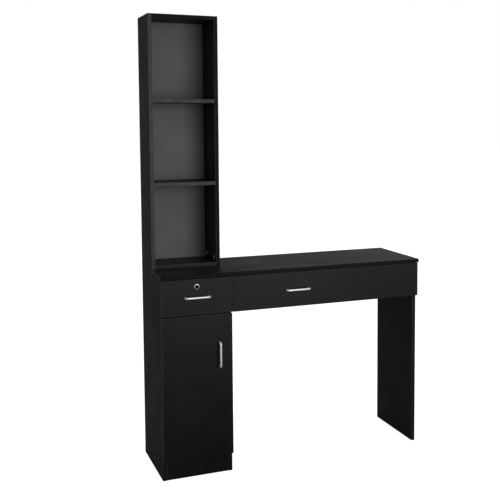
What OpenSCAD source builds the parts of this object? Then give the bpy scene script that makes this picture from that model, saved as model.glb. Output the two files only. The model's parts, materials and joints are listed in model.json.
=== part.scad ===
// Styling station: a narrow cupboard and a leg panel carry one long worktop with a drawer under it, and a tall
// open bookcase stands on the worktop's left end. Flat-pack boards with cam fittings, dowels and ball slides.
// Places are given as s, dep and z: s from the outer left face, dep from the wall towards the room, z from the floor.

/* [Overall] */
// Width over everything
overall_w = 1150; // [1050:10:1500]
// Height to the top of the bookcase
overall_h = 1880; // [1700:10:2100]
// Height of the worktop's upper face
worktop_h = 837; // [800:1:900]
// Depth of the worktop
worktop_d = 380; // [370:5:450]

/* [Boards] */
// Thickness of the coated boards
board = 16; // [15:0.5:18]
// Rounding of the worktop's long front edges
edge_r = 2; // [0.5:0.5:5]
// Thickness of the cupboard's back and of the drawer bottoms
thin_board = 3; // [2.5:0.5:4]
// Thickness of the bookcase's back
bookcase_back_t = 5; // [3:0.5:6]
// Thickness of the drawer box boards
box_board = 12; // [10:0.5:14]
// How deep a back or a bottom sits in its groove
groove = 5; // [3:0.5:6]
// Play of a thin board in its groove
groove_play = 0.2; // [0.1:0.1:0.4]

/* [Bookcase] */
// Depth of the bookcase
bookcase_d = 200; // [190:5:250]
// Free depth behind the bookcase's back, filled by the wall rail at the top
back_inset = 15; // [13:1:25]
// Height of the wall rail
wall_rail_h = 70; // [60:5:120]
// Distance between the two hanger plates
hanger_pitch = 180; // [120:10:200]

/* [Cupboard] */
// Width of the cupboard and of the bookcase
tower_w = 290; // [260:5:360]
// Height of the toe-kick
kick_h = 80; // [75:5:120]
// How far the toe-kick stands back from the side panels' front edges
kick_setback = 2; // [0:1:20]
// Distance of the thin back from the wall
back_groove_dep = 16; // [15:1:20]
// Height of the adjustable shelf's underside
shelf_z = 340; // [300:5:400]
// How far the adjustable shelf stands back from the front edges
shelf_setback = 20; // [10:1:60]
// Diameter of the shelf pins
pin_d = 5; // [4:0.5:6]
// Distance between the spare heights of the shelf pins
pin_step = 32; // [25:1:40]

/* [Desk] */
// Distance of the rear rail from the wall
rear_rail_dep = 0; // [0:1:2]
// Diameter of the screw holes through the rear rail
rail_hole_d = 5.5; // [4.5:0.5:7]
// Distance between the screw holes through the rear rail
rail_hole_pitch = 600; // [400:20:640]
// Height of the screw holes over the rear rail's lower edge
rail_hole_z = 75; // [40:5:110]
// Diameter of the pale cap in the worktop's left end
end_cap_d = 8; // [6:1:10]
// Depth of that cap in the worktop
end_cap_l = 6; // [4:1:10]

/* [Fronts] */
// How far the worktop stands out past the fronts
overhang = 9; // [4:1:30]
// Height of the drawer fronts and of the fixed panel
front_h = 147; // [140:1:160]
// Width of the left drawer front and of the fixed panel past the cupboard's width
front_extra = 4; // [0:1:8]
// Gap between the fronts and the worktop's underside
top_gap = 3; // [1.5:0.5:4]
// Gap between neighbouring fronts
side_gap = 3; // [2:0.5:5]
// Gap between the door and the drawer front over it
door_gap = 4; // [2:0.5:8]
// Gap between the fronts' backs and the boards' front edges
front_gap = 3; // [3:0.5:4]
// Gap between a bumper and the front that closes on it
bumper_play = 0.3; // [0.2:0.1:0.5]
// Diameter of the bumpers
bumper_d = 5; // [4:0.5:6]

/* [Drawer boxes] */
// Height of the drawer boxes
box_h = 86; // [70:1:88]
// Height of the boxes over the fronts' lower edge
box_lift = 13; // [11:1:15]
// Height of a drawer's bottom over the box's lower edge
bottom_lift = 8; // [6:1:12]

/* [Slides] */
// Length of the ball slides
slide_l = 300; // [250:5:305]
// Height of the slides
slide_h = 27; // [25:1:32]
// Thickness of the slides, which is the gap at a drawer's side
slide_t = 10; // [9:0.5:12.5]
// Sheet thickness of the slides
slide_sheet = 1.2; // [1:0.1:1.5]
// Diameter of the balls
ball_d = 4.1; // [3.5:0.1:4.5]
// Play over and under a ball
ball_play = 0.1; // [0.05:0.05:0.2]
// Length of a ball cage
cage_l = 70; // [50:5:75]
// Travel of the drawers
drawer_travel = 225; // [180:5:225]

/* [Handles] */
// Distance between a handle's screws
handle_pitch = 96; // [64:2:128]
// Distance of the grip from the face, to its outer side
handle_h = 24; // [20:1:35]
// Width of the handle's bar
handle_w = 8; // [7:0.5:14]
// Thickness of the handle's bar
handle_t = 9; // [4:0.5:9]
// How far each leg leans in from its foot to the grip
handle_lean = 0; // [0:0.5:10]
// Length of a handle's leg along the handle
handle_foot = 13; // [8:0.5:14]
// Distance of the door's handle from the door's free edge
door_handle_inset = 55; // [30:1:80]
// Height of the door's handle, at its middle
door_handle_z = 502; // [400:1:560]

/* [Lock] */
// How far the lock and the handle under it stand left of the cupboard's middle
lock_shift = 1; // [0:0.5:4]
// Diameter of the lock's ring
lock_ring_d = 21; // [20:1:24]
// Diameter of the lock's barrel
lock_barrel_d = 18.8; // [16:0.1:19]
// Length of the lock's barrel behind the face
lock_l = 28; // [26:1:30]
// Diameter of the plug that the key turns
plug_d = 14; // [11:0.5:14.5]
// Running clearance of the plug, at its radius
plug_play = 0.05; // [0.02:0.01:0.1]
// Distance of the lock's axis from the drawer front's upper edge
lock_drop = 31; // [30:1:34]
// Length of the lock's tongue from its axis
tongue_l = 28; // [26:1:29]

/* [Hinges] */
// Diameter of the hinge cups
cup_d = 35; // [26:1:35]
// Depth of the cups in the door
cup_depth = 12.5; // [12:0.1:12.6]
// Distance from the door's edge to the cup
cup_edge = 3; // [3:0.1:3.2]
// Distance of the hinge pins from the door's edge
pivot_in = 7; // [6.8:0.1:7]
// Distance of the hinge pins from the door's back
pivot_deep = 8.5; // [8.5:0.1:8.8]
// Distance of the hinges from the door's upper and lower edge
hinge_inset = 100; // [80:5:110]

/* [Fittings] */
// Diameter of the cams
cam_d = 14.7; // [12:0.1:15]
// Depth of the cams' bores
cam_bore_h = 12.5; // [12:0.1:12.8]
// Distance from a board's end to its cam
cam_reach = 34; // [30:1:40]
// Distance from a board's edge to its cam
cam_inset = 37; // [30:1:40]
// Distance from the bookcase's front to the cam in its foot
foot_inset = 30; // [28:1:36]
// Distance between a cam and the dowel beside it
dowel_step = 32; // [25:1:36]
// Diameter of the dowels
dowel_d = 8; // [6:0.5:8]
// Length of the dowels
dowel_l = 30; // [25:1:32]
// Clearance of cams, bolts, dowels and screws in their holes, at the radius
hole_play = 0.1; // [0.05:0.05:0.2]

/* [Hidden] */
$fn = 48;

// Directions: toward the room is minus y
RIGHT = [1, 0, 0];
LEFT = [-1, 0, 0];
UP = [0, 0, 1];
DOWN = [0, 0, -1];
FRONT = [0, -1, 0];
WALL = [0, 1, 0];
eps = 1; // how far a cutting solid runs past the face that it opens

// Planes along the depth
face_dep = worktop_d - overhang;
front_back_dep = face_dep - board;
case_d = front_back_dep - front_gap;
total_d = max(worktop_d, face_dep + handle_h);
back_plane = back_inset + bookcase_back_t;
case_rear = back_groove_dep + thin_board + 1;
rail_front_dep = rear_rail_dep + board;

// Heights
case_h = worktop_h - board;
front_top = case_h - top_gap;
front_z = front_top - front_h;
rail_z = front_z - door_gap / 2 - board / 2;
door_z = kick_h;
door_h = front_z - door_gap - door_z;
floor_z = kick_h;
bay_h = (overall_h - worktop_h - 4 * board) / 3;
lower_shelf_z = worktop_h + board + bay_h;
upper_shelf_z = lower_shelf_z + board + bay_h;
top_z = overall_h - board;

// Widths
inner_s = board;
tower_inner_w = tower_w - 2 * board;
right_side_s = tower_w - board;
leg_s = overall_w - board;
side_front_w = tower_w + front_extra;
fascia_s = overall_w - side_front_w;
centre_front_s = side_front_w + side_gap;
centre_front_w = fascia_s - side_gap - centre_front_s;
divider_s = fascia_s - side_gap / 2 - board / 2;

// Drawer bays: left face, inner width, distance of the slides' screws from their ends
left_bay = [inner_s, tower_inner_w, 36];
centre_bay = [tower_w, divider_s - tower_w, 52];
box_z = front_z + box_lift;
box_rear = front_back_dep - slide_l - 10;
box_d = front_back_dep - box_rear;
slide_z = box_z + box_h / 2;
slide_rear = case_d - 5 - slide_l;

// Fittings
cam_h = cam_bore_h - 0.5;
cam_play = 0.15;
bolt_d = 6;
bolt_neck_d = 4;
bolt_thread_d = 5;
bolt_in = 10;
dowel_in = 10;
dowel_out = dowel_l - dowel_in;
cover_d = 17;
cover_t = 0.8;
screw_d = 3.5;
screw_head_d = 6;
handle_screw_d = 4;
handle_screw_head_d = 8;
handle_screw_head_h = 2.5;

// A place in the part's own frame
function at(s, dep, z) = [s - overall_w / 2, total_d / 2 - dep, z];

// Joint places: s, dep, z of the joint's plane, the way into the board that is held by its end, and the side
// that its cam is turned from
function end_pair(s0, s1, dep, z, side) = [[s0, dep, z, RIGHT, side], [s1, dep, z, LEFT, side]];
function end_row(s0, s1, deps, z, side) = [for (dep = deps) each end_pair(s0, s1, dep, z, side)];
function up_row(s, deps, z, into, side) = [for (dep = deps) [s, dep, z, into, side]];

bookcase_cams = [back_plane + cam_inset, bookcase_d - cam_inset];
bookcase_dowel = (back_plane + bookcase_d) / 2;
foot_cams = [back_plane + foot_inset - 2, bookcase_d - foot_inset];
foot_dowels = [foot_cams[0] + dowel_step, foot_cams[1] - dowel_step];
case_cams = [case_rear + cam_inset, case_d - cam_inset];
case_dowels = [case_cams[0] + dowel_step, case_cams[1] - dowel_step];
top_cams = [rail_front_dep + 44, case_d - 53];
top_dowels = [top_cams[0] + dowel_step, top_cams[1] - dowel_step];
kick_dep = case_d - kick_setback - board;
kick_mid = kick_dep + board / 2;
rear_rail_mid = rear_rail_dep + board / 2;
rear_rail_cams = [front_z + 28, case_h - 28];
rear_rail_dowels = [front_z + 58, case_h - 58];

function bookcase_row(z, side) = end_row(board, right_side_s, bookcase_cams, z + board / 2, side);
function bookcase_dowel_row(z) = end_pair(board, right_side_s, bookcase_dowel, z + board / 2, DOWN);
function case_row(z) = end_row(board, right_side_s, case_cams, z + board / 2, DOWN);
function case_dowel_row(z) = end_row(board, right_side_s, case_dowels, z + board / 2, DOWN);
function foot_row(deps) = concat(up_row(board / 2, deps, worktop_h, UP, RIGHT),
                                 up_row(tower_w - board / 2, deps, worktop_h, UP, LEFT));
function panel_row(s, side, deps) = up_row(s + board / 2, deps, case_h, DOWN, side);
function kick_row(zs) = [for (z = zs) each end_pair(board, right_side_s, kick_mid, z, WALL)];
function rear_rail_row(zs) = [for (z = zs) each end_pair(tower_w, leg_s, rear_rail_mid, z, WALL)];

shelf_cams = concat(bookcase_row(lower_shelf_z, DOWN), bookcase_row(upper_shelf_z, DOWN),
                    bookcase_row(worktop_h, DOWN), bookcase_row(top_z, UP));
shelf_dowels = concat(bookcase_dowel_row(lower_shelf_z), bookcase_dowel_row(upper_shelf_z),
                      bookcase_dowel_row(worktop_h), bookcase_dowel_row(top_z));
carcass_cams = concat(case_row(floor_z), case_row(rail_z), kick_row([kick_h / 2]));
carcass_dowels = concat(case_dowel_row(floor_z), case_dowel_row(rail_z), kick_row([16, kick_h - 16]));
rail_cams = rear_rail_row(rear_rail_cams);
rail_dowels = rear_rail_row(rear_rail_dowels);
top_cam_joints = concat(panel_row(0, RIGHT, top_cams), panel_row(right_side_s, LEFT, top_cams),
                        panel_row(leg_s, LEFT, top_cams), panel_row(divider_s, RIGHT, top_cams));
top_dowel_joints = concat(panel_row(0, RIGHT, top_dowels), panel_row(right_side_s, LEFT, top_dowels),
                          panel_row(leg_s, LEFT, top_dowels), panel_row(divider_s, RIGHT, top_dowels));
foot_cam_joints = foot_row(foot_cams);
foot_dowel_joints = foot_row(foot_dowels);
divider_dowels = [for (z = [front_z + 40, case_h - 40]) [divider_s + board / 2, rail_front_dep, z, FRONT, RIGHT]];
wall_rail_dowels = [for (z = [top_z - wall_rail_h + 18, top_z - 18])
                    each end_pair(board, right_side_s, back_inset / 2, z, WALL)];

module boxed(s, dep, z, w, d, h) {
    translate(at(s, dep + d, z)) cube([w, d, h]);
}

// Local x runs into the end-held board, local z to the side that the cam is turned from
module seat(joint) {
    x = joint[3];
    z = joint[4];
    y = cross(z, x);
    p = at(joint[0], joint[1], joint[2]);
    multmatrix([[x[0], y[0], z[0], p[0]], [x[1], y[1], z[1], p[1]], [x[2], y[2], z[2], p[2]], [0, 0, 0, 1]])
        children();
}

// Local x is the part's x, local y is up, local z points to the room
module facing(s, dep, z) {
    translate(at(s, dep, z)) rotate([90, 0, 0]) children();
}

module along_x(x0, x1, d) {
    translate([x0, 0, 0]) rotate([0, 90, 0]) cylinder(d = d, h = x1 - x0);
}

module bar(p, q, d) {
    run = q - p;
    translate(p) rotate(atan2(run[1], run[0])) translate([0, -d / 2]) square([norm(run), d]);
}

module capsule(p, q, d) {
    translate(p) circle(d = d);
    translate(q) circle(d = d);
    bar(p, q, d);
}

// Holes in the board that is held by its end
module end_holes(cams, pegs) {
    for (joint = cams) seat(joint) {
        translate([cam_reach, 0, board / 2 - cam_bore_h]) cylinder(d = cam_d + 2 * cam_play, h = cam_bore_h + eps);
        along_x(-eps, cam_reach, bolt_d + 4 * hole_play);
    }
    for (joint = pegs) seat(joint) along_x(-eps, dowel_out + 0.5, dowel_d + 2 * hole_play);
}

// Holes in the board whose face or edge it is held to
module face_holes(cams, pegs) {
    for (joint = cams) seat(joint) along_x(-bolt_in - 0.5, eps, bolt_thread_d + 2 * hole_play);
    for (joint = pegs) seat(joint) along_x(-dowel_in - 0.5, eps, dowel_d + 2 * hole_play);
}

// Screws: place of the head's outer face, and the way that the screw goes in
function slide_screws(bay, off, into) = [for (dep = [slide_rear + bay[2], slide_rear + slide_l - bay[2]])
    each [[bay[0] + off, dep, slide_z, into, UP], [bay[0] + bay[1] - off, dep, slide_z, -into, UP]]];
function outer_screws(bay) = slide_screws(bay, slide_sheet, LEFT);
function inner_screws(bay) = slide_screws(bay, slide_t - slide_sheet, RIGHT);

// Corner blocks of the fixed panel
block = 20;
block_h = 24;
block_z = [front_z + 34, front_top - 34];
block_dep = front_back_dep - block;
block_s = [divider_s + board, leg_s - block];
block_screws = [for (z = block_z) each [[block_s[0] + block / 2, block_dep, z + 6, FRONT, UP],
                                        [block_s[1] + block / 2, block_dep, z + 6, FRONT, UP],
                                        [block_s[0] + block, case_d - block / 2, z - 6, LEFT, UP],
                                        [block_s[1], case_d - block / 2, z - 6, RIGHT, UP]]];
block_screw_l = 30;

// Hinges on the cupboard's left side, and the places of their screws
hinge_z = [door_z + hinge_inset, door_z + door_h - hinge_inset];
cup_s = cup_edge + cup_d / 2;
plate_t = 3;
plate_dep = case_d - 53;
plate_l = 32;
plate_h = 46;
plate_screw_z = 16;
arm_t = 5;
arm_w = 14;
neck_w = 6;
neck_t = 2.6;
eye_d = 4.8;
hinge_pin_d = 2.5;
cup_wall = 0.8;
pivot_s = pivot_in;
pivot_dep = front_back_dep + pivot_deep;
elbow = [cup_s - 1, pivot_dep + 0.8];
arm_s = board + plate_t + arm_t / 2;
arm_end_dep = case_d - 10;
plate_screws = [for (z = hinge_z) for (up = [-1, 1]) [board + plate_t, plate_dep + plate_l / 2,
                                                      z + up * plate_screw_z, LEFT, UP]];
flange_t = 1;
flange_screw_y = 24;

// Strike plate over the lock
lock_s = tower_w / 2 - lock_shift;
lock_z = front_top - lock_drop;
tongue_t = 2;
tongue_dep = face_dep - lock_l - 0.5 - tongue_t;
strike_t = 1.2;
strike_w = 28;
strike_dep = tongue_dep + tongue_t + 1.5;
strike_drop = 16;
strike_l = front_back_dep + 13 - strike_dep;
strike_screws = [for (side = [-1, 1]) [lock_s + side * 9, front_back_dep - 4, case_h - strike_t, UP, RIGHT]];
strike_screw_l = 13;

short_screw_l = 13;
all_short_screws = concat(outer_screws(left_bay), outer_screws(centre_bay), plate_screws, strike_screws);

module screw(l) {
    cylinder(d = screw_d, h = l);
    cylinder(d1 = screw_head_d, d2 = screw_d, h = slide_sheet);
}

// Local z is the way that the screw goes in
module drive(joint) {
    z = joint[3];
    x = joint[4];
    y = cross(z, x);
    p = at(joint[0], joint[1], joint[2]);
    multmatrix([[x[0], y[0], z[0], p[0]], [x[1], y[1], z[1], p[1]], [x[2], y[2], z[2], p[2]], [0, 0, 0, 1]])
        children();
}

module screw_holes(screws, l) {
    for (place = screws) drive(place) {
        translate([0, 0, -eps]) cylinder(d = screw_head_d + 2 * hole_play, h = eps);
        cylinder(d1 = screw_head_d + 2 * hole_play, d2 = screw_d + 2 * hole_play, h = slide_sheet);
        cylinder(d = screw_d + 2 * hole_play, h = l + 0.5);
    }
}

// Worktop: one board with eased front edges
module worktop() {
    color("#35343a")
    difference() {
        translate(at(0, 0, case_h)) rotate([90, 0, 90]) linear_extrude(overall_w) {
            translate([-worktop_d + edge_r, 0]) square([worktop_d - edge_r, board]);
            translate([-worktop_d, edge_r]) square([worktop_d, board - 2 * edge_r]);
            for (z = [edge_r, board - edge_r]) translate([-worktop_d + edge_r, z]) circle(r = edge_r);
        }
        face_holes(top_cam_joints, top_dowel_joints);
        face_holes(foot_cam_joints, foot_dowel_joints);
        screw_holes(strike_screws, strike_screw_l);
        translate(at(0, bookcase_d + 6, case_h + board / 2)) along_x(-eps, end_cap_l + 0.5, end_cap_d + 2 * hole_play);
    }
}

module end_cap() {
    color("#c9c6bd")
    translate(at(0, bookcase_d + 6, case_h + board / 2)) along_x(0, end_cap_l, end_cap_d);
}

pin_deps = [case_rear + 50, case_d - shelf_setback - 50];
pin_z = shelf_z - pin_d / 2 - 0.2;
pin_in = 8;
pin_out = 7;

// Side panels of the cupboard; inward is 1 on the left panel and -1 on the right one
module lower_side(s, inward) {
    face_s = inward > 0 ? s + board : s;
    difference() {
        boxed(s, 0, 0, board, case_d, case_h);
        translate(at(face_s, back_groove_dep, 0) - [groove + groove_play, thin_board + groove_play, eps])
            cube([2 * (groove + groove_play), thin_board + groove_play, case_h + 2 * eps]);
        face_holes(carcass_cams, carcass_dowels);
        end_holes(top_cam_joints, top_dowel_joints);
        face_holes(rail_cams, rail_dowels);
        screw_holes(all_short_screws, short_screw_l);
        for (step = [-1, 0, 1], dep = pin_deps) translate(at(face_s, dep, pin_z + step * pin_step))
            along_x(-pin_in - 0.5, pin_in + 0.5, pin_d + 2 * hole_play);
    }
}

module lower_left_side() {
    color("#2b2a2e") lower_side(0, 1);
}

module lower_right_side() {
    color("#2b2a2e") lower_side(right_side_s, -1);
}

module cabinet_floor() {
    color("#2b2a2e")
    difference() {
        boxed(board, case_rear, floor_z, tower_inner_w, case_d - case_rear, board);
        end_holes(case_row(floor_z), case_dowel_row(floor_z));
    }
}

module drawer_rail() {
    color("#2b2a2e")
    difference() {
        boxed(board, case_rear, rail_z, tower_inner_w, case_d - case_rear, board);
        end_holes(case_row(rail_z), case_dowel_row(rail_z));
    }
}

module toe_kick() {
    color("#2b2a2e")
    difference() {
        boxed(board, kick_dep, 0, tower_inner_w, board, kick_h);
        end_holes(kick_row([kick_h / 2]), kick_row([16, kick_h - 16]));
    }
}

module cabinet_back() {
    color("#3a393d")
    boxed(board - groove, back_groove_dep, kick_h, tower_inner_w + 2 * groove, thin_board, case_h - kick_h);
}

module cabinet_shelf() {
    color("#2b2a2e")
    boxed(board + 1, case_rear + 5, shelf_z, tower_inner_w - 2, case_d - shelf_setback - case_rear - 5, board);
}

module shelf_pins() {
    color("#b9babd")
    for (side = [0, 1], dep = pin_deps)
        translate(at(side == 0 ? board : right_side_s, dep, pin_z))
            along_x(side == 0 ? -pin_in : -pin_out, side == 0 ? pin_out : pin_in, pin_d);
}

module leg_panel() {
    color("#2b2a2e")
    difference() {
        boxed(leg_s, 0, 0, board, case_d, case_h);
        end_holes(panel_row(leg_s, LEFT, top_cams), panel_row(leg_s, LEFT, top_dowels));
        face_holes(rail_cams, rail_dowels);
        screw_holes(block_screws, block_screw_l);
    }
}

module right_fascia() {
    color("#2b2a2e")
    difference() {
        boxed(fascia_s, front_back_dep, front_z, side_front_w, board, front_h);
        screw_holes(block_screws, block_screw_l);
    }
}

module bay_divider() {
    color("#2b2a2e")
    difference() {
        boxed(divider_s, rail_front_dep, front_z, board, case_d - rail_front_dep, case_h - front_z);
        end_holes(panel_row(divider_s, RIGHT, top_cams), panel_row(divider_s, RIGHT, top_dowels));
        end_holes([], divider_dowels);
        screw_holes(outer_screws(centre_bay), short_screw_l);
        screw_holes(block_screws, block_screw_l);
    }
}

module rear_rail() {
    color("#2b2a2e")
    difference() {
        boxed(tower_w, rear_rail_dep, front_z, leg_s - tower_w, board, case_h - front_z);
        end_holes(rail_cams, rail_dowels);
        face_holes([], divider_dowels);
        for (side = [-1, 1])
            facing((tower_w + leg_s) / 2 + side * rail_hole_pitch / 2, rear_rail_dep - eps, front_z + rail_hole_z)
                cylinder(d = rail_hole_d, h = board + 2 * eps);
    }
}

module corner_blocks() {
    color("#17171a")
    difference() {
        for (s = block_s, z = block_z) boxed(s, block_dep, z - block_h / 2, block, block, block_h);
        screw_holes(block_screws, block_screw_l);
    }
}

// Side panels of the bookcase
module bookcase_side(s, inner_face) {
    difference() {
        boxed(s, 0, worktop_h, board, bookcase_d, overall_h - worktop_h);
        translate(at(inner_face, back_inset, 0) - [groove + groove_play, bookcase_back_t + groove_play, 0])
            translate([0, 0, worktop_h - eps])
                cube([2 * (groove + groove_play), bookcase_back_t + groove_play, overall_h - worktop_h - board / 2]);
        face_holes(shelf_cams, shelf_dowels);
        end_holes(foot_cam_joints, foot_dowel_joints);
        face_holes([], wall_rail_dowels);
    }
}

module bookcase_left_side() {
    color("#2b2a2e") bookcase_side(0, board);
}

module bookcase_right_side() {
    color("#2b2a2e") bookcase_side(right_side_s, right_side_s);
}

module bookcase_board(z, rear, side) {
    difference() {
        boxed(board, rear, z, tower_inner_w, bookcase_d - rear, board);
        end_holes(bookcase_row(z, side), bookcase_dowel_row(z));
        children();
    }
}

module back_groove(z) {
    boxed(board - eps, back_inset, z, tower_inner_w + 2 * eps, bookcase_back_t + groove_play, groove + groove_play);
}

module bookcase_top() {
    color("#2b2a2e") bookcase_board(top_z, 0, UP) translate([0, 0, -eps]) {
        back_groove(top_z);
        back_groove(top_z + eps);
    }
}

module bookcase_bottom() {
    color("#2b2a2e") bookcase_board(worktop_h, 0, DOWN) {
        back_groove(worktop_h + board - groove - groove_play);
        back_groove(worktop_h + board - groove);
    }
}

module upper_shelf() {
    color("#2b2a2e") bookcase_board(upper_shelf_z, back_plane + groove_play, DOWN);
}

module lower_shelf() {
    color("#2b2a2e") bookcase_board(lower_shelf_z, back_plane + groove_play, DOWN);
}

module bookcase_back() {
    color("#4a4850")
    boxed(board - groove, back_inset, worktop_h + board - groove, tower_inner_w + 2 * groove, bookcase_back_t,
          top_z - worktop_h - board + 2 * groove);
}

// Wall rail behind the bookcase's back, with two keyhole plates let into it
hanger_w = 30;
hanger_h = 50;
hanger_t = 1.5;
keyhole_d = 10;
keyhole_slot = 5;
keyhole_run = 12;
pocket_t = 8;
hanger_z = top_z - wall_rail_h / 2;
hanger_s = [for (side = [-1, 1]) tower_w / 2 + side * hanger_pitch / 2];
hanger_screws_at = [for (s = hanger_s) for (up = [-1, 1]) [s, 0, hanger_z + up * 20, FRONT, UP]];
hanger_screw_l = 12;

module keyhole(d, slot) {
    translate([0, -keyhole_run / 2]) circle(d = d);
    capsule([0, -keyhole_run / 2], [0, keyhole_run / 2], slot);
}

module wall_rail() {
    color("#2b2a2e")
    difference() {
        boxed(board, 0, top_z - wall_rail_h, tower_inner_w, back_inset, wall_rail_h);
        end_holes([], wall_rail_dowels);
        for (s = hanger_s) {
            boxed(s - hanger_w / 2, -eps, hanger_z - hanger_h / 2, hanger_w, hanger_t + eps, hanger_h);
            facing(s, -eps, hanger_z) linear_extrude(pocket_t + eps) keyhole(keyhole_d + 2, keyhole_d + 2);
        }
        screw_holes(hanger_screws_at, hanger_screw_l);
    }
}

module hanger_plates() {
    color("#b4b6ba")
    difference() {
        for (s = hanger_s)
            boxed(s - hanger_w / 2 + hole_play, 0, hanger_z - hanger_h / 2 + hole_play,
                  hanger_w - 2 * hole_play, hanger_t, hanger_h - 2 * hole_play);
        for (s = hanger_s) facing(s, -eps, hanger_z) linear_extrude(hanger_t + 2 * eps) keyhole(keyhole_d, keyhole_slot);
        screw_holes(hanger_screws_at, hanger_screw_l);
    }
}

module cam() {
    difference() {
        translate([cam_reach, 0, board / 2 - cam_bore_h]) cylinder(d = cam_d, h = cam_h);
        along_x(cam_reach - cam_d, cam_reach + 2, bolt_d + 8 * hole_play);
        for (turn = [0, 90]) translate([cam_reach, 0, board / 2]) rotate(turn) cube([8, 1.4, 4], center = true);
    }
}

module cam_bolt() {
    along_x(-bolt_in, 0, bolt_thread_d);
    along_x(0, cam_reach - cam_d / 2 - 0.5, bolt_d);
    along_x(0, cam_reach - 1.5, bolt_neck_d);
    along_x(cam_reach - 2, cam_reach + 1, bolt_d);
}

all_cams = concat(shelf_cams, carcass_cams, rail_cams, top_cam_joints, foot_cam_joints);
all_dowels = concat(shelf_dowels, carcass_dowels, rail_dowels, top_dowel_joints, foot_dowel_joints,
                    divider_dowels, wall_rail_dowels);

module cam_locks() {
    color("#a9abb0") for (joint = all_cams) seat(joint) cam();
}

module cam_bolts() {
    color("#b8a878") for (joint = all_cams) seat(joint) cam_bolt();
}

module dowels() {
    color("#c8a878") for (joint = all_dowels) seat(joint) along_x(-dowel_in, dowel_out, dowel_d);
}

// Caps over the cams that show, inside the bookcase's foot
module cam_covers() {
    color("#9a9a98")
    for (joint = foot_cam_joints)
        seat(joint) translate([cam_reach, 0, board / 2]) cylinder(d = cover_d, h = cover_t);
}

module board_screws() {
    color("#c2c4c8") {
        for (place = all_short_screws) drive(place) screw(short_screw_l);
        for (place = block_screws) drive(place) screw(block_screw_l);
        for (place = hanger_screws_at) drive(place) screw(hanger_screw_l);
    }
}

bumper_t = front_gap - bumper_play;
bumper_places = [[tower_w - board / 2, door_z + 40], [tower_w - board / 2, door_z + door_h - 40],
                 [board / 2, front_z + 20], [tower_w - board / 2, front_z + 20],
                 [centre_front_s + centre_front_w - bumper_d / 2 - 0.5, front_z + 20],
                 [centre_front_s + centre_front_w - bumper_d / 2 - 0.5, front_top - 20]];

module front_bumpers() {
    color("#d8d8d4")
    for (place = bumper_places) facing(place[0], case_d, place[1]) cylinder(d = bumper_d, h = bumper_t);
}

// Concealed hinges: plate and arm on the cupboard's side, cup in the door
module hinge_plates() {
    color("#b4b6ba")
    difference() {
        for (z = hinge_z) boxed(board, plate_dep, z - plate_h / 2, plate_t, plate_l, plate_h);
        screw_holes(plate_screws, short_screw_l);
    }
}

module on_hinges() {
    for (z = hinge_z) translate(at(0, 0, z)) mirror([0, 1, 0]) children();
}

module hinge_arms() {
    color("#c2c4c8")
    on_hinges() difference() {
        union() {
            linear_extrude(arm_w, center = true)
                translate([board + plate_t, plate_dep - 4]) square([arm_t, arm_end_dep + 4 - plate_dep]);
            linear_extrude(neck_w, center = true) {
                capsule([arm_s, arm_end_dep], [arm_s, front_back_dep - 1], neck_t);
                capsule([arm_s, front_back_dep - 1], elbow, neck_t);
                capsule(elbow, [pivot_s, pivot_dep], neck_t);
                translate([pivot_s, pivot_dep]) circle(d = eye_d);
            }
        }
        translate([pivot_s, pivot_dep, -neck_w]) cylinder(d = hinge_pin_d + 2 * plug_play, h = 2 * neck_w);
    }
}

// The pins sit in the cups' walls, their ends dressed to the cups' outsides
module hinge_pins() {
    color("#d0d2d6")
    intersection() {
        on_hinges() translate([pivot_s, pivot_dep, -cup_d / 2]) cylinder(d = hinge_pin_d, h = cup_d);
        for (z = hinge_z) facing(cup_s, front_back_dep, z) cylinder(d = cup_d - 4 * hole_play, h = cup_depth);
    }
}

module flange_outline() {
    circle(d = cup_d + 2);
    capsule([0, -flange_screw_y], [0, flange_screw_y], 14);
}

module hinge_cups() {
    color("#c2c4c8")
    difference() {
        for (z = hinge_z) facing(cup_s, front_back_dep, z) difference() {
            union() {
                cylinder(d = cup_d - 2 * hole_play, h = cup_depth);
                translate([0, 0, -flange_t]) linear_extrude(flange_t) flange_outline();
            }
            translate([0, 0, -flange_t - eps])
                cylinder(d = cup_d - 2 * (hole_play + cup_wall), h = cup_depth + flange_t + eps - cup_wall);
            for (up = [-1, 1]) translate([0, up * flange_screw_y, -flange_t - eps])
                cylinder(d = screw_d + 2 * hole_play, h = flange_t + 2 * eps);
        }
        on_hinges() translate([pivot_s, pivot_dep, -cup_d / 2]) cylinder(d = hinge_pin_d + hole_play, h = cup_d);
    }
}

cup_screw_l = 12;
handle_bite = 6;

// Cupboard door
module cabinet_door() {
    color("#2b2a2e")
    difference() {
        boxed(0, front_back_dep, door_z, tower_w, board, door_h);
        for (z = hinge_z) facing(cup_s, front_back_dep, z) {
            translate([0, 0, -eps]) cylinder(d = cup_d, h = cup_depth + eps + 0.3);
            for (up = [-1, 1]) translate([0, up * flange_screw_y, -eps])
                cylinder(d = screw_d + 2 * hole_play, h = cup_screw_l + eps);
        }
        facing(tower_w - door_handle_inset, face_dep, door_handle_z) rotate(90) handle_holes(board);
    }
}

module door_screws() {
    color("#c2c4c8") {
        for (z = hinge_z, up = [-1, 1]) facing(cup_s, front_back_dep - flange_t, z) translate([0, up * flange_screw_y, 0]) {
            cylinder(d = screw_d, h = cup_screw_l - 1);
            translate([0, 0, -1.2]) cylinder(d = screw_head_d, h = 1.2);
        }
        facing(tower_w - door_handle_inset, face_dep, door_handle_z) rotate(90) handle_screws(board);
    }
}

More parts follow.
